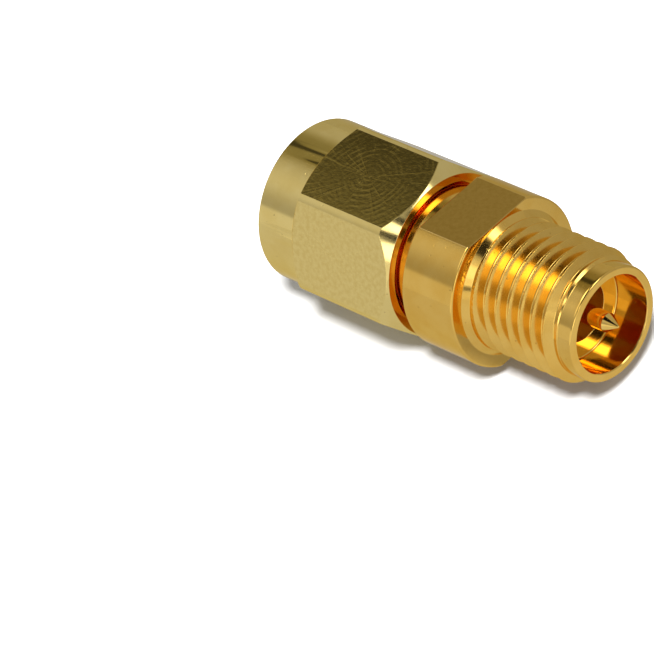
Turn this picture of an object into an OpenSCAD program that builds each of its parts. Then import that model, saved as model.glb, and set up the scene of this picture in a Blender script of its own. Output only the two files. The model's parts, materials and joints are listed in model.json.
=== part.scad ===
// Coaxial adapter: a threaded jack with a pin contact at one end, and a plug with a socket
// contact and a captive coupling nut at the other. It lies on a flat of the nut, with its
// axis along X and the jack towards +X. Stations along the axis are counted from the mouth
// of the jack, and grow towards the plug.

/* [Jack] */
// Outer diameter of the jack's thread
thread_d = 6.32; // [6.1:0.01:6.5]
// Pitch of both threads, 36 turns to the inch
thread_pitch = 0.7056; // [0.66:0.0001:0.8]
// Depth of the jack's thread, below its crests
thread_depth = 0.42; // [0.3:0.01:0.45]
// Number of crests on the jack's thread
thread_turns = 6; // [4:1:8]
// Plain lead-in, from the mouth to the run-out of the thread
lead_len = 1.13; // [0.6:0.01:2]
// Relief between the thread and the cone at its root
relief_len = 0.15; // [0.05:0.01:0.4]
// Diameter at the small end of the 45 degree cone in front of the flange
root_cone_d = 6.06; // [5.9:0.01:6.3]
// Length of that cone
root_cone_len = 0.42; // [0.2:0.01:0.48]
// Bevel around the rim of the mouth, outside and inside
rim_edge = 0.08; // [0.04:0.01:0.15]
// Bore that takes the ferrule of another plug
jack_bore_d = 4.64; // [4.6:0.01:4.8]
// Depth of that bore
jack_bore_depth = 1.85; // [1.5:0.01:2.2]
// Bore around the pin, behind the reference face
line_bore_d = 2.92; // [2.6:0.01:3.2]
// Distance from the reference face to the first insulator
line_len = 3.2; // [2:0.1:4]

/* [Flange] */
// Diameter of the flange
flange_d = 8.15; // [7.8:0.01:8.4]
// Length of the flange
flange_len = 3.09; // [2.5:0.01:4]
// Distance across the two wrench flats
flange_af = 7.1; // [7:0.01:7.6]
// Turn of the wrench flats from the nut's top flat, about the axis
flange_turn = 11; // [0:1:30]

/* [Neck and ferrule] */
// Diameter of the neck that carries the nut
neck_d = 6; // [5.9:0.01:6.1]
// Diameter of the shoulder between the flange and the neck
shoulder_d = 6.96; // [6.94:0.01:7]
// Length of that shoulder, which ends in the recess at the rear of the nut
shoulder_len = 1.5; // [1.2:0.01:1.6]
// Gap between the flange and the nut
nut_gap = 0.97; // [0.8:0.01:1.1]
// Length of the neck and the shoulder together, from the flange
neck_len = 4.53; // [4.2:0.01:4.8]
// Bevel at the front end of the neck
neck_edge = 0.1; // [0.05:0.01:0.2]
// Distance from the nut's rear face to the retaining ring
ring_inset = 1.96; // [1.7:0.01:2.3]
// Depth of the ring groove in the neck
neck_groove_depth = 0.45; // [0.4:0.01:0.5]
// Outer diameter of the ferrule
ferrule_d = 4.58; // [4.52:0.01:4.6]
// Length of the ferrule, from the neck to its face
ferrule_len = 2.19; // [1.9:0.01:2.3]
// Bevel around the ferrule's face
ferrule_edge = 0.06; // [0.03:0.01:0.1]

/* [Coupling nut] */
// Distance across the flats of the nut
hex_af = 8; // [7.9:0.01:8.4]
// Diameter of the round bar that the corners are left from
hex_bar_d = 9.06; // [8.9:0.01:9.2]
// Length of the hexagon
hex_len = 6.06; // [5.6:0.01:7]
// Diameter of the circle where the crown starts, at each end of the hexagon
hex_face_d = 7.96; // [7.8:0.01:7.97]
// Radius of the crown that rounds off the corners at each end
hex_crown_r = 7.4; // [7:0.1:10]
// Depth of the recess at the rear of the nut, around the shoulder
recess_depth = 0.8; // [0.75:0.01:1]
// Diameter of the round collar in front of the hexagon, and of the short boss behind it
collar_d = 7.98; // [7.97:0.01:7.99]
// Length of the collar
collar_len = 2.28; // [2:0.01:3.2]
// Length of the boss
boss_len = 0.18; // [0.1:0.01:0.3]
// Bevel around the mouth of the nut, outside
collar_edge = 0.2; // [0.1:0.01:0.3]
// Counterbore in the mouth of the nut
counterbore_d = 6.74; // [6.6:0.01:6.9]
// Depth of the counterbore
counterbore_depth = 0.76; // [0.5:0.01:1]
// Length of the cone between the counterbore and the thread
entry_cone_len = 0.3; // [0.2:0.01:0.5]
// Inner diameter of the nut's thread
nut_thread_d = 5.68; // [5.6:0.01:5.8]
// Depth of the nut's thread, outside its crests
nut_thread_depth = 0.34; // [0.25:0.01:0.4]
// Number of crests in the nut's thread
nut_thread_turns = 4; // [3:1:5]
// Depth of the ring groove in the nut
nut_groove_depth = 0.45; // [0.4:0.01:0.5]

/* [Retaining ring] */
// Width of the ring along the axis
ring_w = 0.5; // [0.4:0.01:0.7]
// Gap in the ring
ring_gap = 1.2; // [0.8:0.1:2]
// Overlap of the ring with the nut
ring_hold = 0.3; // [0.2:0.01:0.35]

/* [Insulators and contact] */
// Diameter of the insulators
insulator_d = 4.1; // [4:0.01:4.2]
// Length of the bead that carries the pin
bead_len = 1.4; // [1:0.1:2]
// Diameter of the pin
pin_d = 0.92; // [0.8:0.01:1]
// How far the pin stands out of the mouth
pin_proud = 0.35; // [0.1:0.01:0.5]
// Length of the pin's point
point_len = 0.63; // [0.4:0.01:0.8]
// Diameter of the flat left at the very tip
tip_d = 0.1; // [0.06:0.01:0.2]
// Diameter of the contact's collar, held between the insulators
contact_collar_d = 2.2; // [1.8:0.01:2.6]
// Length of that collar
contact_collar_len = 0.6; // [0.4:0.01:1]
// Outer diameter of the socket
socket_d = 1.3; // [1.25:0.01:1.4]
// Hole of the socket
socket_bore_d = 0.96; // [0.94:0.01:1.05]
// Depth of that hole
socket_depth = 2.8; // [2.2:0.1:3.5]
// Distance of the socket's end behind the ferrule's face
socket_inset = 0.12; // [0.05:0.01:0.3]
// Width of the four slots of the socket
slot_w = 0.16; // [0.1:0.01:0.2]
// Length of the slots
slot_len = 2.2; // [1.5:0.1:2.2]

/* [Clearances] */
// Running clearance of the nut on the neck, on the radius
neck_clearance = 0.05; // [0.02:0.01:0.08]
// Play of the ring along the axis, each way, in the groove of the neck
ring_play = 0.1; // [0.05:0.01:0.15]
// Clearance of the ring in the nut's groove, each way along the axis
ring_side_clearance = 0.02; // [0.01:0.01:0.04]
// Clearance of the insulators in the body and around the contact, on the radius
seat_clearance = 0.01; // [0.01:0.005:0.03]

/* [Hidden] */
$fn = 96;
over = 1;

crest_flat = thread_pitch / 8;
flank_slope = tan(30);

crest_r = thread_d / 2;
lead_r = crest_r - thread_depth;
jack_bore_r = jack_bore_d / 2;
line_bore_r = line_bore_d / 2;
flange_r = flange_d / 2;
neck_r = neck_d / 2;
shoulder_r = shoulder_d / 2;
neck_groove_r = neck_r - neck_groove_depth;
ferrule_r = ferrule_d / 2;
insulator_r = insulator_d / 2;
insulator_bore_r = insulator_r + seat_clearance;

thread_at = lead_len + thread_depth;
thread_end = thread_at + (thread_turns - 1) * thread_pitch + crest_flat + thread_depth * flank_slope;
relief_end = thread_end + relief_len;
flange_at = relief_end + root_cone_len;
flange_end = flange_at + flange_len;
shoulder_end = flange_end + shoulder_len;
nut_at = flange_end + nut_gap;
neck_end = flange_end + neck_len;
ferrule_face = neck_end + ferrule_len;
hex_at = nut_at + boss_len;
hex_end = hex_at + hex_len;
nut_mouth = hex_end + collar_len;
root_cone_r = root_cone_d / 2;

recess_r = shoulder_r + neck_clearance;
nut_bore_r = neck_r + neck_clearance;
nut_groove_r = nut_bore_r + nut_groove_depth;
nut_crest_r = nut_thread_d / 2;
nut_root_r = nut_crest_r + nut_thread_depth;
counterbore_r = counterbore_d / 2;
counterbore_end = nut_mouth - counterbore_depth;
nut_thread_end = counterbore_end - entry_cone_len;
nut_thread_at = nut_thread_end - (nut_thread_turns - 1) * thread_pitch - crest_flat;
nut_thread_run = (nut_bore_r - nut_crest_r) * flank_slope;

ring_at = nut_at + ring_inset;
ring_end = ring_at + ring_w;
ring_outer_r = nut_bore_r + ring_hold;
ring_inner_r = neck_groove_r + neck_clearance;

bead_at = jack_bore_depth + line_len;
bead_end = bead_at + bead_len;
collar_end = bead_end + contact_collar_len;
pin_r = pin_d / 2;
socket_r = socket_d / 2;
socket_end = ferrule_face - socket_inset;

axis_height = hex_af / 2;
mouth_x = (nut_mouth - pin_proud) / 2;

// Puts a shape that is drawn along Z, from the mouth of the jack, on the adapter's axis.
module on_axis() {
    translate([mouth_x, 0, axis_height]) rotate([0, -90, 0]) children();
}

// Corners of a thread on a turned profile: its crests at one radius, its roots at another.
function thread_points(crest, root, at, turns) =
    let (flank = abs(crest - root) * flank_slope)
    [for (i = [0 : turns - 1])
        let (s = at + i * thread_pitch)
        each concat(
            [[crest, s], [crest, s + crest_flat]],
            i < turns - 1
                ? [[root, s + crest_flat + flank], [root, s + thread_pitch - flank]]
                : []
        )];

// Half section of the jack's barrel, from the rim of its mouth to the flange.
function barrel_points() = concat(
    [[lead_r - rim_edge, 0], [lead_r, rim_edge], [lead_r, lead_len]],
    thread_points(crest_r, lead_r, thread_at, thread_turns),
    [[lead_r, thread_end], [lead_r, relief_end]],
    [[root_cone_r, relief_end], [root_cone_r + root_cone_len, flange_at]]
);

// Half section of the flange, the shoulder, the neck with its ring groove, and the ferrule.
function rear_points() = concat(
    [[flange_r, flange_at], [flange_r, flange_end]],
    [[shoulder_r, flange_end], [shoulder_r, shoulder_end], [neck_r, shoulder_end]],
    [[neck_r, ring_at - ring_play - ring_side_clearance]],
    [[neck_groove_r, ring_at - ring_play - ring_side_clearance]],
    [[neck_groove_r, ring_end + ring_play + ring_side_clearance]],
    [[neck_r, ring_end + ring_play + ring_side_clearance]],
    [[neck_r, neck_end - neck_edge], [neck_r - neck_edge, neck_end]],
    [[ferrule_r, neck_end], [ferrule_r, ferrule_face - ferrule_edge]],
    [[ferrule_r - ferrule_edge, ferrule_face]]
);

// Half section of the stepped bore, from the ferrule's face back to the mouth of the jack.
function bore_points() = [
    [insulator_bore_r, ferrule_face], [insulator_bore_r, bead_at],
    [line_bore_r, bead_at], [line_bore_r, jack_bore_depth],
    [jack_bore_r, jack_bore_depth], [jack_bore_r, rim_edge / 2],
    [jack_bore_r + rim_edge / 2, 0]
];

module wrench_flats() {
    rotate([0, 0, flange_turn])
        for (side = [0, 180])
            rotate([0, 0, side])
                translate([flange_af / 2, -flange_r - over, flange_at - relief_len / 2])
                    cube([flange_r, 2 * (flange_r + over), flange_len + relief_len]);
}

module body() {
    color("goldenrod")
        on_axis()
            difference() {
                rotate_extrude() polygon(concat(barrel_points(), rear_points(), bore_points()));
                wrench_flats();
            }
}

// The bar of the hexagon, crowned at both ends as on a turned nut.
module hex_bar() {
    face_r = hex_face_d / 2;
    crown_depth = sqrt(pow(hex_crown_r, 2) - pow(face_r, 2));
    intersection() {
        translate([0, 0, hex_at]) cylinder(h = hex_len, d = hex_bar_d);
        translate([0, 0, hex_at + crown_depth]) sphere(r = hex_crown_r);
        translate([0, 0, hex_end - crown_depth]) sphere(r = hex_crown_r);
    }
}

module nut_outside() {
    intersection() {
        hex_bar();
        translate([0, 0, nut_at])
            rotate([0, 0, 30])
                cylinder(h = nut_mouth - nut_at, d = hex_af / cos(30), $fn = 6);
    }
    rotate_extrude()
        polygon([
            [0, nut_at], [collar_d / 2 - rim_edge / 2, nut_at], [collar_d / 2, nut_at + rim_edge / 2],
            [collar_d / 2, nut_mouth - collar_edge], [collar_d / 2 - collar_edge, nut_mouth],
            [0, nut_mouth]
        ]);
}

// Everything that is cut out of the nut: recess, rear bore, ring groove, thread, counterbore.
module nut_inside() {
    rotate_extrude()
        polygon(concat(
            [[0, nut_at - over], [recess_r, nut_at - over], [recess_r, nut_at + recess_depth]],
            [[nut_bore_r, nut_at + recess_depth], [nut_bore_r, ring_at - ring_side_clearance]],
            [[nut_groove_r, ring_at - ring_side_clearance]],
            [[nut_groove_r, ring_end + ring_side_clearance], [nut_bore_r, ring_end + ring_side_clearance]],
            [[nut_bore_r, nut_thread_at - nut_thread_run]],
            thread_points(nut_crest_r, nut_root_r, nut_thread_at, nut_thread_turns),
            [[counterbore_r, counterbore_end], [counterbore_r, nut_mouth - rim_edge]],
            [[counterbore_r + rim_edge + over, nut_mouth + over], [0, nut_mouth + over]]
        ));
}

module coupling_nut() {
    color("khaki")
        on_axis()
            difference() {
                nut_outside();
                nut_inside();
            }
}

module retaining_ring() {
    color("peru")
        on_axis()
            difference() {
                translate([0, 0, ring_at]) cylinder(h = ring_w, r = ring_outer_r);
                translate([0, 0, ring_at - over]) cylinder(h = ring_w + 2 * over, r = ring_inner_r);
                translate([0, -ring_gap / 2, ring_at - over])
                    cube([ring_outer_r + over, ring_gap, ring_w + 2 * over]);
            }
}

// A round insulator between two stations, with a hole along its axis.
module insulator(from, to, hole_r) {
    on_axis()
        difference() {
            translate([0, 0, from]) cylinder(h = to - from, r = insulator_r);
            translate([0, 0, from - over]) cylinder(h = to - from + 2 * over, r = hole_r);
        }
}

module plug_insulator() {
    color("mistyrose") insulator(collar_end, ferrule_face, socket_r + seat_clearance);
}

module support_bead() {
    color("mistyrose") insulator(bead_at, bead_end, pin_r + seat_clearance);
}

module socket_slots() {
    for (turn = [0, 90])
        rotate([0, 0, turn])
            translate([-socket_d, -slot_w / 2, socket_end - slot_len])
                cube([2 * socket_d, slot_w, slot_len + over]);
}

// The space around the contact's collar is closed by the two insulators.
module centre_contact() {
    color("gold")
        on_axis()
            difference() {
                rotate_extrude()
                    polygon([
                        [0, -pin_proud], [tip_d / 2, -pin_proud],
                        [pin_r, point_len - pin_proud], [pin_r, bead_end],
                        [contact_collar_d / 2, bead_end], [contact_collar_d / 2, collar_end],
                        [socket_r, collar_end], [socket_r, socket_end],
                        [socket_bore_d / 2, socket_end], [socket_bore_d / 2, socket_end - socket_depth],
                        [0, socket_end - socket_depth]
                    ]);
                socket_slots();
            }
}

body();
coupling_nut();
retaining_ring();
plug_insulator();
support_bead();
centre_contact();
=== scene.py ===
# Looks of a gold-plated coaxial adapter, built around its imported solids.
# Sizes are in millimetres and become metres when a piece is finished. Stations run along the
# adapter's axis from the mouth of the jack towards the plug, as in the part's own drawing.
import json
import math

import bmesh
import bpy
from mathutils import Matrix, Quaternion, Vector


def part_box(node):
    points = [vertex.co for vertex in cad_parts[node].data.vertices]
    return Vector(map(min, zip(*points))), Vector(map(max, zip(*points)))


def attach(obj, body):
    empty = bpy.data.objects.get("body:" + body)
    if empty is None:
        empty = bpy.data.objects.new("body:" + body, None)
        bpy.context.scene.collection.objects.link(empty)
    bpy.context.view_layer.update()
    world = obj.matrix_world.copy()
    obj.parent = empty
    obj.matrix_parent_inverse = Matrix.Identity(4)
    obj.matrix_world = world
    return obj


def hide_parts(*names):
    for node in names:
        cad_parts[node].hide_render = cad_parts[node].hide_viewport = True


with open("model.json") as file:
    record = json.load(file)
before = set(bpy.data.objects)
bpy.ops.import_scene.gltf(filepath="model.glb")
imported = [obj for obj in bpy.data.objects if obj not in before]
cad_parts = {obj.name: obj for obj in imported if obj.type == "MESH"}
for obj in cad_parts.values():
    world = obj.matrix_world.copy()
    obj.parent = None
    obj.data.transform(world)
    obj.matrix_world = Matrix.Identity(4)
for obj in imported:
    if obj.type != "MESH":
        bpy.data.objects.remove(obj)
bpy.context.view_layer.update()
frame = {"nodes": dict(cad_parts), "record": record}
MM = 0.001

# The frame's own sizes
MOUNTS = {mount["name"]: mount for mount in frame["record"]["mounts"]}
AXIS_HEIGHT = MOUNTS["jack_thread"]["pos_m"][2] / MM
MOUTH_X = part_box("body")[1].x / MM


def station(x_in_metres):
    """Distance from the mouth of the jack towards the plug, in millimetres."""
    return MOUTH_X - x_in_metres / MM


def low_high(node):
    """First and last station of a node, from the jack's side to the plug's."""
    low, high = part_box(node)
    return station(high.x), station(low.x)


def half_width(node):
    """Largest distance of a node from the axis, sideways."""
    low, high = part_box(node)
    return (high.y - low.y) / 2 / MM


def mount_span(name):
    """First and last station of a round mount."""
    mount = MOUNTS[name]
    middle = station(mount["pos_m"][0])
    half = mount["dims"]["length_mm"] / 2
    return middle - half, middle + half


# Threads of both ends: the shape of a groove and of the ridges that it leaves
PITCH = 0.7056
FLANK_SLOPE = math.tan(math.radians(30))
CREST_WIDTH = 0.04
CREST_ROUND = 0.022
CREST_SHAVING = 0.003
ROOT_ROUND = 0.07
TURN_GAP = 0.006
CUTTER_LIFT = 0.001
CUTTER_OVER = 0.1

# Jack: the thread's first groove is counted straight above the axis
CREST_R = MOUNTS["jack_thread"]["dims"]["r_mm"]
THREAD_DEPTH = 0.42
LEAD_R = CREST_R - THREAD_DEPTH
LEAD_LEN = 0.8
FIRST_GROOVE = 0.36
THREAD_TURNS = 7.5
ROOT_LIFT = 0.004
JACK_BORE_R = 2.32
MOUTH_BEVEL = 0.04
MOUTH_BEVEL_LEN = 0.05
LINE_BORE_R = 1.46
REFERENCE_FACE = station(MOUNTS["jack_face"]["pos_m"][0])

# Flange with the cone in front of it, shoulder, neck and ferrule
FIT_GAP = 0.01
FLANGE_LEN = 3.09
FLANGE_R = half_width("body")
FLANGE_EDGE = 0.04
FLANGE_FLAT = Vector(MOUNTS["flange_flat"]["pos_m"]) / MM
FLANGE_FLAT_NORMAL = Vector(MOUNTS["flange_flat"]["axis"])
FLANGE_AT = MOUTH_X - FLANGE_FLAT.x - FLANGE_LEN / 2
FLANGE_END = FLANGE_AT + FLANGE_LEN
ROOT_CONE_LEN = 0.25
ROOT_CONE_END_R = 3.45
RUNOUT_AT = FLANGE_AT - ROOT_CONE_LEN
SHOULDER_R = 3.4
SHOULDER_LEN = 1.05
SHOULDER_END = FLANGE_END + SHOULDER_LEN
NECK_R = 3.0
NECK_REACH = 4.53
NECK_END = FLANGE_END + NECK_REACH
NECK_GROOVE_R = 2.55
FERRULE_R = 2.29
FERRULE_FACE = low_high("body")[1]
INSULATOR_BORE_R = half_width("plug_insulator") + FIT_GAP
RING_AT, RING_END = low_high("retaining_ring")
RING_PLAY = 0.12

# Coupling nut
NUT_AT, NUT_MOUTH = low_high("coupling_nut")
BAR_R = half_width("coupling_nut")
REAR_RIM_R = 3.92
REAR_LEN = 0.18
HEX_HALF = AXIS_HEIGHT
HEX_LEN = 6.06
HEX_AT = NUT_AT + REAR_LEN
HEX_END = HEX_AT + HEX_LEN
HEX_EDGE = 0.03
CROWN_DEPTH = 0.41
COLLAR_R = 3.99
RECESS_GAP = 0.15
RECESS_R = SHOULDER_R + RECESS_GAP
RECESS_DEPTH = 0.3
RECESS_END = NUT_AT + RECESS_DEPTH
COUNTERBORE_R = MOUNTS["nut_mouth"]["dims"]["r_mm"]
COUNTERBORE_END = mount_span("nut_mouth")[0]
NUT_CREST_R = 2.84
NUT_THREAD_DEPTH = 0.34
NUT_THREAD_LEAD = 0.3
NUT_THREAD_LEN = 3.125 * PITCH
NUT_THREAD_RUNOUT = 0.2
NUT_THREAD_END = COUNTERBORE_END - NUT_THREAD_LEAD
NUT_THREAD_AT = NUT_THREAD_END - NUT_THREAD_LEN
NECK_CLEARANCE = 0.05
NUT_BORE_R = NECK_R + NECK_CLEARANCE
NUT_GROOVE_DEPTH = 0.45
NUT_GROOVE_R = NUT_BORE_R + NUT_GROOVE_DEPTH
NUT_GROOVE_CLEARANCE = 0.02

# Contact and insulators
PIN_TIP, SOCKET_END = low_high("centre_contact")
PIN_R = 0.46
POINT_LEN = 0.63
TIP_R = 0.05
CONTACT_COLLAR_R = half_width("centre_contact")
BEAD_AT, BEAD_END = low_high("support_bead")
CONTACT_COLLAR_END = low_high("plug_insulator")[0]
SOCKET_R = 0.65
SOCKET_BORE_R = MOUNTS["plug_socket"]["dims"]["r_mm"]
SOCKET_DEPTH = MOUNTS["plug_socket"]["dims"]["length_mm"]
SLOT_W = 0.16
SLOT_LEN = 2.2
SLOT_OVER = 1.0
INSULATOR_R = half_width("plug_insulator")

# Mesh fineness
TURN_STEPS = 144
CUTTER_STEPS = 72
ARC_STEPS = 4
SHARP_ANGLE = math.radians(32)
SHADING_GUARD = 1.3
GUARD_ROOM = 1.6
TOUCHING = 0.01

# Places of a piece's finishes after its first: flats, then the nut's rear face, whose redder gold is
# painted shade
MILLED = 1
REAR_PAINTED_SHADE = 2


# Modelling

def arc_corner(before, corner, after, radius):
    """Points of a round corner between two straight stretches of an outline.

    A point just before and just after the corner keeps its shading off the stretches.
    """
    back = (before - corner).normalized()
    ahead = (after - corner).normalized()
    half_angle = math.acos(max(-1.0, min(1.0, back.dot(ahead)))) / 2
    cut = radius / math.tan(half_angle)
    centre = corner + (back + ahead).normalized() * (radius / math.sin(half_angle))
    start = corner + back * cut - centre
    turn_angle = math.pi - 2 * half_angle
    side = 1 if start.cross(corner + ahead * cut - centre) > 0 else -1
    points = []
    if (before - corner).length > GUARD_ROOM * cut:
        points.append(corner + back * cut * SHADING_GUARD)
    for step in range(ARC_STEPS + 1):
        angle = side * turn_angle * step / ARC_STEPS
        cos, sin = math.cos(angle), math.sin(angle)
        points.append(centre + Vector((start.x * cos - start.y * sin, start.x * sin + start.y * cos)))
    if (after - corner).length > GUARD_ROOM * cut:
        points.append(corner + ahead * cut * SHADING_GUARD)
    return points


def rounded(corners):
    """A closed outline of (station, radius) points, where a third number rounds its corner."""
    points = []
    for index, corner in enumerate(corners):
        here = Vector(corner[:2])
        if len(corner) == 2:
            points.append(here)
            continue
        before = Vector(corners[index - 1][:2])
        after = Vector(corners[(index + 1) % len(corners)][:2])
        points += arc_corner(before, here, after, corner[2])
    return points


def on_axis(point):
    """A (station, radius) point of the drawing, straight above the axis."""
    along, radius = point
    return Vector((MOUTH_X - along, 0, AXIS_HEIGHT + radius))


def turn(outline):
    """A bmesh of an outline turned about the axis, as on a lathe."""
    bm = bmesh.new()
    verts = [bm.verts.new(on_axis(point)) for point in outline]
    edges = [bm.edges.new((a, b)) for a, b in zip(verts, verts[1:] + verts[:1])]
    bmesh.ops.spin(
        bm,
        geom=verts + edges,
        cent=(0, 0, AXIS_HEIGHT),
        axis=(1, 0, 0),
        angle=math.tau,
        steps=TURN_STEPS,
        use_merge=True,
    )
    bmesh.ops.remove_doubles(bm, verts=bm.verts[:], dist=1e-5)
    bmesh.ops.dissolve_degenerate(bm, edges=bm.edges[:], dist=1e-6)
    bmesh.ops.recalc_face_normals(bm, faces=bm.faces[:])
    return bm


def mill(bm, point, normal, edge):
    """Cuts a flat and takes the sharpness off its edges."""
    everything = bm.verts[:] + bm.edges[:] + bm.faces[:]
    cut = bmesh.ops.bisect_plane(
        bm, geom=everything, dist=1e-5, plane_co=point, plane_no=normal, clear_outer=True
    )
    edges = [part for part in cut["geom_cut"] if isinstance(part, bmesh.types.BMEdge)]
    flat = bmesh.ops.contextual_create(bm, geom=edges)["faces"][0]
    if flat.normal.dot(normal) < 0:
        flat.normal_flip()
    rim = flat.verts[:]
    bmesh.ops.inset_individual(bm, faces=[flat], thickness=edge, use_even_offset=True)
    bmesh.ops.translate(bm, verts=rim, vec=-0.5 * edge * normal)


def dress_flats(bm, planes):
    """Gives the milled faces and their rims the second finish and a map in mm from each centre."""
    bm.normal_update()
    layer = bm.loops.layers.uv.verify()
    for point, normal in planes:
        across = normal.cross(Vector((1, 0, 0)))
        milled = set()
        for face in bm.faces:
            away = abs((face.calc_center_median() - point).dot(normal))
            if away < 1e-3 and face.normal.dot(normal) > 0.9999:
                milled.update(rim for edge in face.edges for rim in edge.link_faces)
        for face in milled:
            face.material_index = MILLED
            for loop in face.loops:
                offset = loop.vert.co - point
                loop[layer].uv = (offset.x, offset.dot(across))


def helical_cutter(section, turns, clip=None):
    """A closed bmesh of a section that winds along the axis towards the plug."""
    bm = bmesh.new()
    face = bm.faces.new([bm.verts.new(on_axis(point)) for point in section])
    bmesh.ops.spin(
        bm,
        geom=[face],
        cent=(0, 0, AXIS_HEIGHT),
        axis=(-1, 0, 0),
        dvec=(-PITCH / CUTTER_STEPS, 0, 0),
        angle=math.tau * turns,
        steps=round(CUTTER_STEPS * turns),
    )
    if clip is not None:
        cut = bmesh.ops.bisect_plane(
            bm,
            geom=bm.verts[:] + bm.edges[:] + bm.faces[:],
            dist=1e-5,
            plane_co=on_axis((clip, 0)),
            plane_no=(-1, 0, 0),
            clear_outer=True,
        )
        edges = [part for part in cut["geom_cut"] if isinstance(part, bmesh.types.BMEdge)]
        bmesh.ops.edgenet_fill(bm, edges=edges)
    bmesh.ops.recalc_face_normals(bm, faces=bm.faces[:])
    return bm


def new_object(name, bm):
    """An object of a bmesh, which is used up."""
    mesh = bpy.data.meshes.new(name)
    bm.to_mesh(mesh)
    bm.free()
    made = bpy.data.objects.new(name, mesh)
    bpy.context.scene.collection.objects.link(made)
    return made


def carve(blank, cutters):
    """The bmesh of a blank with its cutters taken away."""
    work = new_object("blank", blank)
    tools = [new_object("cutter", cutter) for cutter in cutters]
    for tool in tools:
        cut = work.modifiers.new("cut", "BOOLEAN")
        cut.operation = "DIFFERENCE"
        cut.solver = "MANIFOLD"
        cut.object = tool
    bpy.context.view_layer.update()
    carved = work.evaluated_get(bpy.context.evaluated_depsgraph_get())
    bm = bmesh.new()
    bm.from_mesh(carved.to_mesh())
    carved.to_mesh_clear()
    for used in [work, *tools]:
        mesh = used.data
        bpy.data.objects.remove(used)
        bpy.data.meshes.remove(mesh)
    bmesh.ops.remove_doubles(bm, verts=bm.verts[:], dist=1e-4)
    bmesh.ops.dissolve_degenerate(bm, edges=bm.edges[:], dist=1e-5)
    return bm


def finish_piece(name, bm, body, node, finishes, flats=()):
    """Makes a piece of a bmesh in metres: shading, finishes, and the solid that it stands for."""
    dress_flats(bm, flats)
    bmesh.ops.scale(bm, vec=(MM, MM, MM), verts=bm.verts[:])
    piece = new_object(name, bm)
    piece.data.set_sharp_from_angle(angle=SHARP_ANGLE)
    for polygon in piece.data.polygons:
        polygon.use_smooth = polygon.material_index != MILLED
    for finish in finishes:
        piece.data.materials.append(finish)
    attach(piece, body)
    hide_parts(node)
    return piece


# Pieces

def body_outline():
    """Section of the body: barrel, flange, neck and ferrule outside, stepped bore inside."""
    return rounded([
        (0, JACK_BORE_R + MOUTH_BEVEL, 0.03),
        (0, LEAD_R, 0.1),
        (LEAD_LEN, LEAD_R, 0.06),
        (LEAD_LEN + THREAD_DEPTH, CREST_R, 0.03),
        (RUNOUT_AT, CREST_R, 0.03),
        (FLANGE_AT, ROOT_CONE_END_R, 0.04),
        (FLANGE_AT, FLANGE_R, 0.09),
        (FLANGE_END, FLANGE_R, 0.05),
        (FLANGE_END, SHOULDER_R, 0.03),
        (SHOULDER_END, SHOULDER_R, 0.05),
        (SHOULDER_END, NECK_R, 0.05),
        (RING_AT - RING_PLAY, NECK_R, 0.03),
        (RING_AT - RING_PLAY, NECK_GROOVE_R),
        (RING_END + RING_PLAY, NECK_GROOVE_R),
        (RING_END + RING_PLAY, NECK_R, 0.03),
        (NECK_END, NECK_R, 0.1),
        (NECK_END, FERRULE_R, 0.05),
        (FERRULE_FACE, FERRULE_R, 0.06),
        (FERRULE_FACE, INSULATOR_BORE_R, 0.02),
        (BEAD_AT, INSULATOR_BORE_R),
        (BEAD_AT, LINE_BORE_R, 0.03),
        (REFERENCE_FACE, LINE_BORE_R, 0.03),
        (REFERENCE_FACE, JACK_BORE_R, 0.09),
        (MOUTH_BEVEL_LEN, JACK_BORE_R, 0.02),
    ])


def groove_section(middle, root, crest):
    """Section of a thread groove, from its rounded root past the crests that it leaves.

    It stays a hair narrower than the pitch, so that its turns never touch one another.
    """
    outwards = 1 if crest > root else -1
    crest_half = (PITCH - CREST_WIDTH) / 2
    root_half = crest_half - abs(crest - root) * FLANK_SLOPE
    widest = PITCH / 2 - TURN_GAP
    shaved = crest - CREST_SHAVING * outwards
    return rounded([
        (middle - root_half, root, ROOT_ROUND),
        (middle + root_half, root, ROOT_ROUND),
        (middle + crest_half, shaved, CREST_ROUND),
        (middle + widest, crest + CUTTER_LIFT * outwards),
        (middle + widest, crest + CUTTER_OVER * outwards),
        (middle - widest, crest + CUTTER_OVER * outwards),
        (middle - widest, crest + CUTTER_LIFT * outwards),
        (middle - crest_half, shaved, CREST_ROUND),
    ])


def make_body(gold, milled):
    """The body, with two flats on its flange and the jack's helical thread."""
    bm = turn(body_outline())
    opposite = 2 * on_axis((station(FLANGE_FLAT.x * MM), 0)) - FLANGE_FLAT
    flats = [(FLANGE_FLAT, FLANGE_FLAT_NORMAL), (opposite, -FLANGE_FLAT_NORMAL)]
    for point, normal in flats:
        mill(bm, point, normal, FLANGE_EDGE)
    groove = groove_section(FIRST_GROOVE, LEAD_R + ROOT_LIFT, CREST_R)
    bm = carve(bm, [helical_cutter(groove, THREAD_TURNS, clip=RUNOUT_AT)])
    return finish_piece("adapter_body", bm, "adapter", "body", [gold, milled], flats)


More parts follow.
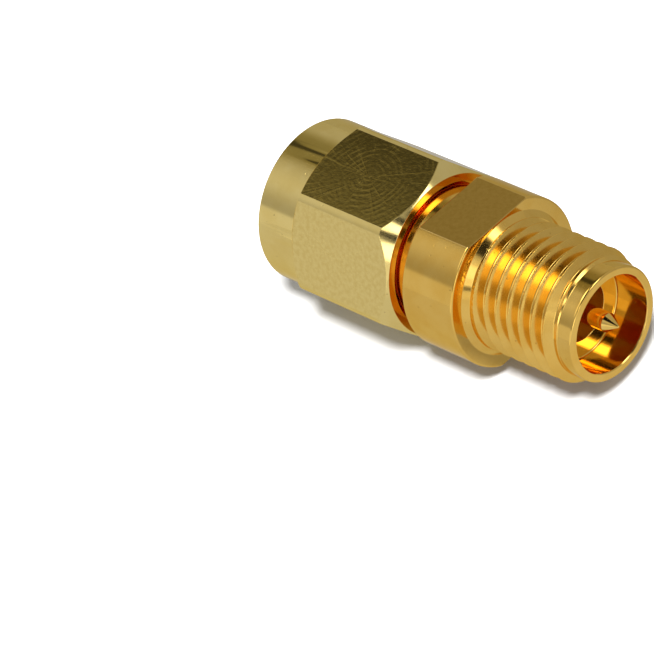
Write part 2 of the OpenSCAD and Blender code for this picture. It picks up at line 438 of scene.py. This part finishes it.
def nut_outline():
    """Section of the nut: chamfered bar and collar outside, bores and counterbore inside."""
    return rounded([
        (NUT_AT, RECESS_R, 0.03),
        (NUT_AT, REAR_RIM_R, 0.05),
        (HEX_AT + CROWN_DEPTH, BAR_R),
        (HEX_END - CROWN_DEPTH, BAR_R),
        (HEX_END, COLLAR_R),
        (NUT_MOUTH, COLLAR_R, 0.08),
        (NUT_MOUTH, COUNTERBORE_R, 0.08),
        (COUNTERBORE_END, COUNTERBORE_R, 0.05),
        (NUT_THREAD_END, NUT_CREST_R, 0.03),
        (NUT_THREAD_AT, NUT_CREST_R, 0.03),
        (NUT_THREAD_AT - NUT_THREAD_RUNOUT, NUT_BORE_R, 0.03),
        (RING_END + NUT_GROOVE_CLEARANCE, NUT_BORE_R),
        (RING_END + NUT_GROOVE_CLEARANCE, NUT_GROOVE_R),
        (RING_AT - NUT_GROOVE_CLEARANCE, NUT_GROOVE_R),
        (RING_AT - NUT_GROOVE_CLEARANCE, NUT_BORE_R),
        (RECESS_END, NUT_BORE_R, 0.03),
        (RECESS_END, RECESS_R),
    ])


def make_nut(gold, milled, painted_shade_gold):
    """The nut: six flats, the inner thread, and a redder, darker gold on its rear face and recess,
    painted shade for the gold-on-gold reflections in the gap to the flange.
    """
    bm = turn(nut_outline())
    middle = on_axis(((HEX_AT + HEX_END) / 2, 0))
    flats = []
    for side in range(6):
        normal = Quaternion((1, 0, 0), math.radians(60 * side)) @ Vector((0, 0, 1))
        flats.append((middle + normal * HEX_HALF, normal))
    for point, normal in flats:
        mill(bm, point, normal, HEX_EDGE)
    start = NUT_THREAD_AT - 0.5 * PITCH
    groove = groove_section(start, NUT_CREST_R + NUT_THREAD_DEPTH, NUT_CREST_R)
    turns = (COUNTERBORE_END - start) / PITCH + 0.5
    bm = carve(bm, [helical_cutter(groove, turns)])
    # Painted shade: the rear face and the recess get the redder gold, which stands in for the
    # reflections between nut and flange.
    for face in bm.faces:
        place = face.calc_center_median()
        face_at = MOUTH_X - place.x
        radius = math.hypot(place.y, place.z - AXIS_HEIGHT)
        in_recess = face_at < RECESS_END + TOUCHING and radius < REAR_RIM_R
        if face_at < NUT_AT + TOUCHING or in_recess:
            face.material_index = REAR_PAINTED_SHADE
    return finish_piece(
        "coupling_nut_gold", bm, "nut", "coupling_nut", [gold, milled, painted_shade_gold], flats
    )


def make_contact(gold):
    """The contact: a pointed pin, a collar, and a socket that two slots split into four fingers."""
    bm = turn(rounded([
        (PIN_TIP, 0),
        (PIN_TIP, TIP_R, 0.02),
        (PIN_TIP + POINT_LEN, PIN_R, 0.03),
        (BEAD_END, PIN_R),
        (BEAD_END, CONTACT_COLLAR_R),
        (CONTACT_COLLAR_END, CONTACT_COLLAR_R),
        (CONTACT_COLLAR_END, SOCKET_R),
        (SOCKET_END, SOCKET_R, 0.04),
        (SOCKET_END, SOCKET_BORE_R, 0.05),
        (SOCKET_END - SOCKET_DEPTH, SOCKET_BORE_R),
        (SOCKET_END - SOCKET_DEPTH, 0),
    ]))
    slots = []
    for quarter in (0, 90):
        slot = bmesh.new()
        middle = on_axis((SOCKET_END + (SLOT_OVER - SLOT_LEN) / 2, 0))
        size = Matrix.Diagonal((SLOT_LEN + SLOT_OVER, SLOT_W, 4 * SOCKET_R, 1))
        place = Matrix.Translation(middle) @ Matrix.Rotation(math.radians(quarter), 4, "X") @ size
        bmesh.ops.create_cube(slot, size=1, matrix=place)
        slots.append(slot)
    bm = carve(bm, slots)
    return finish_piece("contact_gold", bm, "adapter", "centre_contact", [gold])


def make_insulator(white):
    """The plug's insulator, a plain sleeve around the socket."""
    hole = SOCKET_R + FIT_GAP
    first, last = low_high("plug_insulator")
    bm = turn(rounded([
        (first, hole),
        (first, INSULATOR_R),
        (last, INSULATOR_R, 0.03),
        (last, hole, 0.05),
    ]))
    return finish_piece(
        "plug_insulator_white", bm, "adapter", "plug_insulator", [white]
    )


# Finishes

GOLD_BODY = (0.945, 0.605, 0.145)
GOLD_BODY_WARM = (0.9, 0.545, 0.11)
GOLD_FLANGE_FLAT = (0.96, 0.63, 0.2)
GOLD_FLANGE_FLAT_WARM = (0.92, 0.59, 0.17)
GOLD_NUT = (0.97, 0.753, 0.28)
GOLD_NUT_WARM = (0.92, 0.693, 0.233)
# Painted shade: a redder, darker gold for the nut's rear face and recess, in place of the gold-on-gold
# reflections in the gap to the flange.
GOLD_REAR_PAINTED_SHADE = (0.9, 0.5, 0.1)
GOLD_REAR_PAINTED_SHADE_WARM = (0.85, 0.45, 0.08)
GOLD_CONTACT = (0.97, 0.66, 0.18)
GOLD_GRAZING = (1.0, 0.88, 0.55)
BRONZE = (0.6, 0.33, 0.14)
BRONZE_DARK = (0.52, 0.28, 0.11)
INSULATOR_WHITE = (0.87, 0.81, 0.78)


class Wire:
    """A shader socket for use in sums. Each sum adds a Math node."""

    def __init__(self, finish, socket):
        self.finish = finish
        self.socket = socket

    def maths(self, operation, first, second):
        return self.finish.add("ShaderNodeMath", {"operation": operation}, {0: first, 1: second})

    def __add__(self, other):
        return self.maths("ADD", self, other)

    def __radd__(self, other):
        return self.maths("ADD", other, self)

    def __sub__(self, other):
        return self.maths("SUBTRACT", self, other)

    def __rsub__(self, other):
        return self.maths("SUBTRACT", other, self)

    def __mul__(self, other):
        return self.maths("MULTIPLY", self, other)

    def __rmul__(self, other):
        return self.maths("MULTIPLY", other, self)

    def __truediv__(self, other):
        return self.maths("DIVIDE", self, other)

    def __pow__(self, other):
        return self.maths("POWER", self, other)


class Finish:
    """A node tree in the making."""

    def __init__(self, owner):
        owner.use_nodes = True
        self.tree = owner.node_tree
        self.tree.nodes.clear()

    def add(self, kind, settings=None, sockets=None, output=0):
        """Adds any node: its settings first, then the values or links of its sockets."""
        node = self.tree.nodes.new(kind)
        for name, value in (settings or {}).items():
            setattr(node, name, value)
        for name, value in (sockets or {}).items():
            if isinstance(value, Wire):
                self.tree.links.new(value.socket, node.inputs[name])
            else:
                node.inputs[name].default_value = value
        return Wire(self, node.outputs[output]) if node.outputs else None

    def about_axis(self):
        """Object coordinates in mm, counted from the adapter's axis: the vector and its parts."""
        place = self.add("ShaderNodeTexCoord", output=3)
        place = self.add(
            "ShaderNodeMapping",
            {},
            {"Vector": place, "Location": (0, 0, -AXIS_HEIGHT), "Scale": (1 / MM,) * 3},
        )
        parts = [self.add("ShaderNodeSeparateXYZ", {}, {0: place}, output=index) for index in range(3)]
        return place, *parts

    def vector(self, x, y, z):
        return self.add("ShaderNodeCombineXYZ", {}, {0: x, 1: y, 2: z})

    def length(self, x, y):
        return (x * x + y * y) ** 0.5

    def noise(self, vector, scale, detail=2.0):
        """Smooth noise around 0.5."""
        return self.add(
            "ShaderNodeTexNoise",
            {},
            {"Vector": vector, "Scale": scale, "Detail": detail, "Roughness": 0.55},
        )

    def step(self, value, low, high):
        """0 below low and 1 above high, smooth between them."""
        return self.add(
            "ShaderNodeMapRange",
            {"interpolation_type": "SMOOTHSTEP"},
            {"Value": value, "From Min": low, "From Max": high},
        )

    def blend(self, amount, first, second):
        """A colour between two colours."""
        return self.add(
            "ShaderNodeMix", {"data_type": "RGBA"}, {0: amount, 6: first, 7: second}, output=2
        )

    def bump(self, height):
        """A normal from a height in mm."""
        return self.add("ShaderNodeBump", {}, {"Height": height, "Strength": 1.0, "Distance": MM})

    def shade(self, sockets):
        """Ends the material with a Principled shader."""
        shader = self.add("ShaderNodeBsdfPrincipled", {}, sockets)
        self.add("ShaderNodeOutputMaterial", {}, {"Surface": shader})


def shade_of(colour, factor=1.0):
    """A colour for a socket, lighter or darker by a factor."""
    return (*(part * factor for part in colour), 1.0)


def grey(level):
    """A grey for a socket, from 0 for black to 1 for white."""
    return shade_of((level,) * 3)


def turned_gold(name, colour, warm, roughness):
    """Plated metal off a lathe: fine rings about the axis, slight mottling and a few pits.

    The jack's thread, where the piece has it, is duller in its grooves and nicked along its crests.
    """
    material = bpy.data.materials.new(name)
    finish = Finish(material)
    place, x, y, z = finish.about_axis()
    radius = finish.length(y, z)
    along = x + 0.8 * radius
    rings = finish.noise(finish.vector(along * 7.0, y * 0.12, z * 0.12), 1.0, 3.0)
    mottle = finish.noise(place, 0.9, 4.0)
    grain = finish.noise(place, 7.0, 3.0)
    spots = finish.add("ShaderNodeTexVoronoi", {}, {"Vector": place, "Scale": 1.7})
    pits = 1 - finish.step(spots, 0.045, 0.085)
    threaded = finish.step(x, MOUTH_X - RUNOUT_AT + 0.02, MOUTH_X - RUNOUT_AT + 0.1)
    crests = threaded * finish.step(radius, CREST_R - 0.05, CREST_R)
    grooves = threaded * finish.step(radius, LEAD_R + 0.01, LEAD_R + 0.05)
    nicks = finish.step(finish.noise(place, 6.0, 2.0), 0.52, 0.62) * crests
    height = rings * 0.0004 + grain * 0.0004 - pits * 0.003 - nicks * 0.004
    tint = finish.blend(finish.step(mottle, 0.35, 0.7), shade_of(colour), shade_of(warm))
    tint = finish.blend(pits * 0.45, tint, shade_of(warm, 0.45))
    finish.shade({
        "Base Color": tint,
        "Metallic": 1.0,
        "Specular Tint": shade_of(GOLD_GRAZING),
        "Roughness": roughness + 0.05 * mottle + 0.05 * rings + 0.1 * pits + 0.06 * grooves,
        "Normal": finish.bump(height),
    })
    return material


def milled_gold(name, colour, warm, roughness, depth, centre):
    """Plated flats with the arcs of a milling cutter and streaks that run out from its centre."""
    material = bpy.data.materials.new(name)
    finish = Finish(material)
    uv = finish.add("ShaderNodeTexCoord", output=2)
    uv = finish.add("ShaderNodeMapping", {}, {"Vector": uv, "Location": (-centre[0], -centre[1], 0)})
    u, v = (finish.add("ShaderNodeSeparateXYZ", {}, {0: uv}, output=index) for index in range(2))
    reach = finish.length(u, v) + 0.02
    wander = finish.noise(uv, 0.7, 2.0)
    ripple = finish.add("ShaderNodeMath", {"operation": "SINE"}, {0: reach * 21.0 + wander * 7.0})
    patches = finish.noise(uv, 0.8, 3.0)
    blotches = finish.noise(uv, 4.5, 4.0)
    arcs = finish.step(ripple, -0.4, 1.0) * finish.step(patches, 0.4, 0.6)
    rays = finish.noise(finish.vector(u / reach * 11.0, v / reach * 11.0, reach * 0.3), 1.0, 3.0)
    rays = finish.step(rays, 0.56, 0.72)
    scratches = finish.noise(finish.vector(u * 2.2 + v * 0.8, v * 17.0 - u * 6.0, 0.0), 1.0, 2.0)
    scratches = finish.step(scratches, 0.6, 0.74)
    dots = finish.add("ShaderNodeTexVoronoi", {}, {"Vector": uv, "Scale": 2.6})
    dots = 1 - finish.step(dots, 0.05, 0.11)
    height = (arcs * 0.9 + rays * 1.2 + scratches * 0.5 + blotches * 2.8 - dots * 2.5) * depth
    tint = finish.blend(finish.step(blotches, 0.35, 0.68), shade_of(colour, 1.01), shade_of(warm, 0.97))
    finish.shade({
        "Base Color": tint,
        "Metallic": 1.0,
        "Specular Tint": shade_of(GOLD_GRAZING),
        "Roughness": roughness + 0.06 * arcs + 0.08 * rays + 0.06 * scratches,
        "Normal": finish.bump(height),
    })
    return material


def turned_white(name, colour):
    """Faced fluoropolymer: fine concentric tool marks and a faint warm mottling."""
    material = bpy.data.materials.new(name)
    finish = Finish(material)
    place, x, y, z = finish.about_axis()
    radius = finish.length(y, z)
    marks = finish.noise(finish.vector((radius + x) * 8.0, y * 0.1, z * 0.1), 1.0, 3.0)
    mottle = finish.noise(place, 1.1, 3.0)
    tint = finish.blend(finish.step(mottle, 0.35, 0.7), shade_of(colour), shade_of(colour, 0.93))
    finish.shade({
        "Base Color": tint,
        "Roughness": 0.42 + 0.12 * marks,
        "Normal": finish.bump(marks * 0.004),
    })
    return material


gold_body = turned_gold("gold_body_turned", GOLD_BODY, GOLD_BODY_WARM, 0.06)
gold_body_milled = milled_gold(
    "gold_body_milled", GOLD_FLANGE_FLAT, GOLD_FLANGE_FLAT_WARM, 0.07, 0.0003, (0.9, 0.2)
)
gold_nut = turned_gold("gold_nut_turned", GOLD_NUT, GOLD_NUT_WARM, 0.06)
gold_nut_milled = milled_gold("gold_nut_milled", GOLD_NUT, GOLD_NUT_WARM, 0.05, 0.0007, (-0.08, 0.02))
# Painted shade for the nut's rear face and recess.
gold_rear_painted_shade = turned_gold("gold_rear_turned", GOLD_REAR_PAINTED_SHADE, GOLD_REAR_PAINTED_SHADE_WARM, 0.06)
gold_contact = turned_gold("gold_contact_polished", GOLD_CONTACT, GOLD_BODY, 0.04)
spring_bronze = turned_gold("spring_bronze_drawn", BRONZE, BRONZE_DARK, 0.22)
insulator_white = turned_white("insulator_white_turned", INSULATOR_WHITE)

make_body(gold_body, gold_body_milled)
make_nut(gold_nut, gold_nut_milled, gold_rear_painted_shade)
make_contact(gold_contact)
make_insulator(insulator_white)
for node, material in (("retaining_ring", spring_bronze), ("support_bead", insulator_white)):
    frame["nodes"][node].data.materials.clear()
    frame["nodes"][node].data.materials.append(material)


# Camera, floor and light

def towards(azimuth, elevation):
    """Direction from the object: azimuth 0 is the -Y side and 90 the jack's side."""
    azimuth, elevation = math.radians(azimuth), math.radians(elevation)
    level = math.cos(elevation)
    return Vector((math.sin(azimuth) * level, -math.cos(azimuth) * level, math.sin(elevation)))


CAMERA_AIM = Vector((-3.767, -5.848, 4.0)) * MM
CAMERA_DIRECTION = towards(63.41, 44.37)
CAMERA_ROLL = math.radians(29.99)
CAMERA_DISTANCE = 193.14 * MM
CAMERA_LENS = 232.6
CAMERA_SENSOR = 36

camera_data = bpy.data.cameras.new("camera")
camera_data.lens = CAMERA_LENS
camera_data.sensor_width = CAMERA_SENSOR
camera_data.clip_start = 0.001
camera_data.clip_end = 10
camera = bpy.data.objects.new("camera", camera_data)
bpy.context.scene.collection.objects.link(camera)
camera.location = CAMERA_AIM + CAMERA_DIRECTION * CAMERA_DISTANCE
camera.rotation_mode = "QUATERNION"
upright = (-CAMERA_DIRECTION).to_track_quat("-Z", "Y")
camera.rotation_quaternion = upright @ Quaternion((0, 0, 1), -CAMERA_ROLL)
bpy.context.scene.camera = camera


FLOOR_HALF = 3.0
FLOOR_DROP = 0.01 * MM
KEY_DIRECTION = towards(65, 63)
KEY_ANGLE = math.radians(13)
KEY_ENERGY = 9.0
ROOM_STRENGTH = 0.634
SHADE_TINT = (1.0, 0.92, 0.55)
DISC_DARKNESS = 0.93

# Lamps of the room: azimuth, elevation, inner and outer angle in degrees, strength
LAMPS = (
    (-92, 70, 9, 16, 4.4),
    (-41, 58, 8, 17, 0.9),
    (123, 40, 9, 16, 5.0),
    (54, 21, 4, 11, 3.0),
    (75, 34, 3, 7, 3.0),
    (70, 21, 4, 9, 1.6),
    (92, 12, 9, 20, 0.4),
)

# Dark places in the room, the first of them the camera: azimuth, elevation, inner and outer angle
DARK_DISCS = (
    (63.4, 44.4, 5, 9),
    (108, 62, 13, 18),
    (84, 62, 11, 16),
    (65, 29.5, 4.5, 6.5),
    (82, 39, 3, 5),
    (56, 10, 1.5, 3.5),
    (99, 33, 8, 13),
)


def make_floor():
    """A table which the camera sees pale and overexposed but for the shadow. For other rays it is dark
    and glows as painted light, brighter on the jack's side and dimmer and greyer on the far side.
    """
    bm = bmesh.new()
    bmesh.ops.create_grid(bm, x_segments=1, y_segments=1, size=FLOOR_HALF)
    bmesh.ops.translate(bm, vec=(0, 0, -FLOOR_DROP), verts=bm.verts[:])
    floor = new_object("floor", bm)
    material = bpy.data.materials.new("floor_white")
    finish = Finish(material)
    seen = finish.add("ShaderNodeLightPath", output=0)
    place = finish.add("ShaderNodeTexCoord", output=3)
    x, y = (finish.add("ShaderNodeSeparateXYZ", {}, {0: place}, output=index) for index in range(2))
    # Painted light: the floor glows for all rays but the camera's, so that its reflections in the metal
    # stay bright over the shadow.
    far = finish.step(y, 0.001, 0.012)
    glow = finish.blend(finish.step(x, 0.004, 0.014), grey(0.29), grey(0.4))
    glow = finish.blend(far, glow, grey(0.19))
    tint = finish.blend(far, grey(0.09), grey(0.06))
    finish.shade({
        "Base Color": finish.blend(seen, tint, grey(0.56)),
        "Roughness": 0.9,
        "Specular IOR Level": 0.0,
        "Emission Color": finish.blend(seen, glow, grey(0)),
        "Emission Strength": 1.0,
    })
    floor.data.materials.append(material)


def make_key_light():
    """A soft lamp high above the near side. It leaves a narrow shadow and no glint on the metal."""
    data = bpy.data.lights.new("key", "SUN")
    data.energy = KEY_ENERGY
    data.angle = KEY_ANGLE
    lamp = bpy.data.objects.new("key", data)
    bpy.context.scene.collection.objects.link(lamp)
    lamp.rotation_mode = "QUATERNION"
    lamp.rotation_quaternion = (-KEY_DIRECTION).to_track_quat("-Z", "Y")
    lamp.visible_glossy = False


def make_studio():
    """A bright room about the adapter, shadier and warmer above the plug's far side, with its lamps."""
    world = bpy.data.worlds.new("studio")
    finish = Finish(world)
    view = finish.add("ShaderNodeTexCoord", output=0)
    x, y, z = (finish.add("ShaderNodeSeparateXYZ", {}, {0: view}, output=index) for index in range(3))
    angle = finish.add("ShaderNodeMath", {"operation": "ARCTAN2"}, {0: y * -1.0, 1: z}) * math.degrees(1)

    def band(low_edge, low, high, high_edge):
        """1 between two angles about the adapter's axis, counted from straight up to the near side."""
        return finish.step(angle, low_edge, low) * (1 - finish.step(angle, high, high_edge))

    def spot(direction, inner, outer):
        """1 within the inner angle of a direction, 0 past the outer one."""
        closeness = finish.add(
            "ShaderNodeVectorMath", {"operation": "DOT_PRODUCT"}, {0: view, 1: direction}, output=1
        )
        return finish.step(closeness, math.cos(math.radians(outer)), math.cos(math.radians(inner)))

    light = 0.66 + 0.26 * finish.step(angle, -10, 24) - 0.32 * finish.step(angle, 26, 60)
    light = light + finish.step(angle, 62, 67) * (0.4 + 0.3 * finish.step(x, -0.55, -0.25))
    plug_side = 1 - finish.step(x, -0.1, 0.3)
    shade = plug_side * band(-70, -46, -20, 2)
    light = light * (1 - 0.46 * shade)
    light = light * (1 - 0.8 * plug_side * band(-41, -34, -28.5, -24.4))
    for azimuth, elevation, inner, outer, strength in LAMPS:
        light = light + strength * spot(towards(azimuth, elevation), inner, outer)
    for azimuth, elevation, inner, outer in DARK_DISCS:
        light = light * (1 - DISC_DARKNESS * spot(towards(azimuth, elevation), inner, outer))
    camera_ray = finish.add("ShaderNodeLightPath", output=0)
    strength = camera_ray + (1 - camera_ray) * light * ROOM_STRENGTH
    tint = finish.blend(shade * (1 - camera_ray), grey(1), shade_of(SHADE_TINT))
    background = finish.add("ShaderNodeBackground", {}, {"Color": tint, "Strength": strength})
    finish.add("ShaderNodeOutputWorld", {}, {"Surface": background})
    bpy.context.scene.world = world


make_floor()
make_key_light()
make_studio()
bpy.context.scene.cycles.max_bounces = 16
bpy.context.scene.cycles.glossy_bounces = 16
bpy.context.scene.view_settings.view_transform = "Standard"
